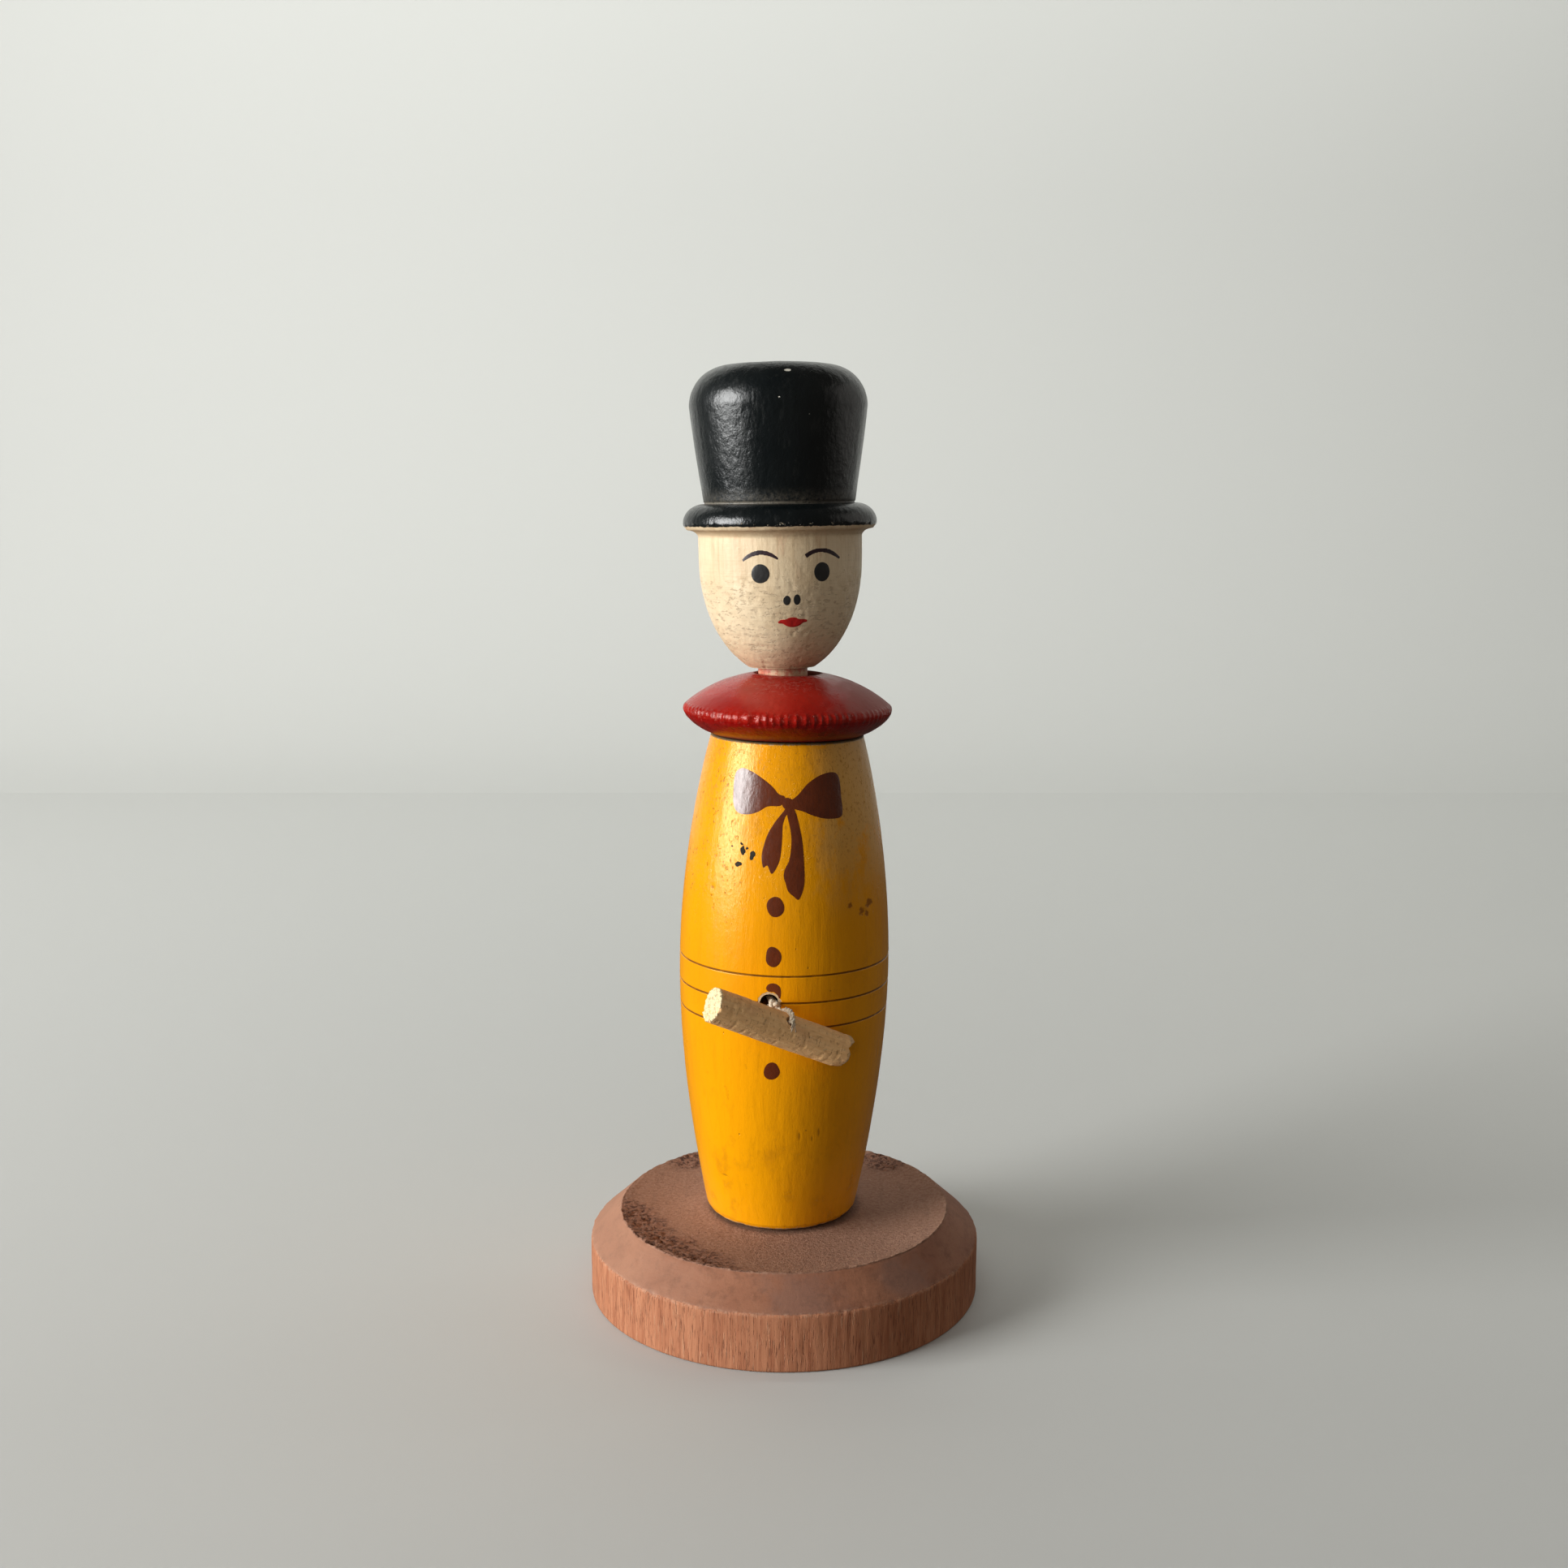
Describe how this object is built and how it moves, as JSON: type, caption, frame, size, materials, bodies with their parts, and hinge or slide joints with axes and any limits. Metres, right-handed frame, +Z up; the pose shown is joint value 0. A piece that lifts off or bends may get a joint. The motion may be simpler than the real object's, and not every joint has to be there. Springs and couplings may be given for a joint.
{
  "type": "kokeshi doll",
  "caption": "Turned wooden doll in a top hat on a round base; pulling the stick toggle on the cord at its waist spins the head on a spindle.",
  "frame": {"origin": "centre of the base's underside", "axes": "+Z up along the doll, -Y is the front, where the cord leaves the body, and +X is the doll's left hand side, which is on the viewer's right"},
  "size_m": [0.0728, 0.0728, 0.1704],
  "materials": {
    "base_wood": "sanded, unfinished reddish wood with open pores",
    "steel": "dull plated screw",
    "yellow_paint": "gloss warm yellow paint on turned wood",
    "red_paint": "gloss red paint on turned wood",
    "black_paint": "gloss black paint on the hat, clear-coated cream wood on the face",
    "pale_wood": "bare cream wood",
    "cotton": "off-white cotton cord",
    "driftwood": "weathered grey-tan stick with cut ends"
  },
  "bodies": {
    "stand": {"base": "base_wood", "base_screw": "steel", "body": "yellow_paint", "collar": "red_paint"},
    "spinning_head": {"head": "black_paint", "spindle": "pale_wood", "cord_peg": "pale_wood", "cord_winding": "cotton"},
    "cord_run": {"pull_cord": "cotton"},
    "toggle": {"toggle": "driftwood", "toggle_loop": "cotton", "cord_knot": "cotton"}
  },
  "joints": [
    {"name": "head_spin", "type": "hinge", "parent": "stand", "child": "spinning_head", "pos_m": [-0.00043, 0, 0.029], "axis": [0.0026, 0, 1], "range_deg": [0, 1800]},
    {"name": "toggle_pull", "type": "slide", "parent": "stand", "child": "cord_run", "axis": [0.1516, -0.9884, 0], "range_m": [0, 0.1414]},
    {"name": "toggle_swivel", "type": "hinge", "parent": "cord_run", "child": "toggle", "pos_m": [-0.00166, -0.02115, 0.06015], "axis": [0.1516, -0.9884, 0], "range_deg": [-30, 75]}
  ],
  "couplings": [
    {"joint": "toggle_pull", "follows": "head_spin", "m_per_rad": 0.0045}
  ]
}
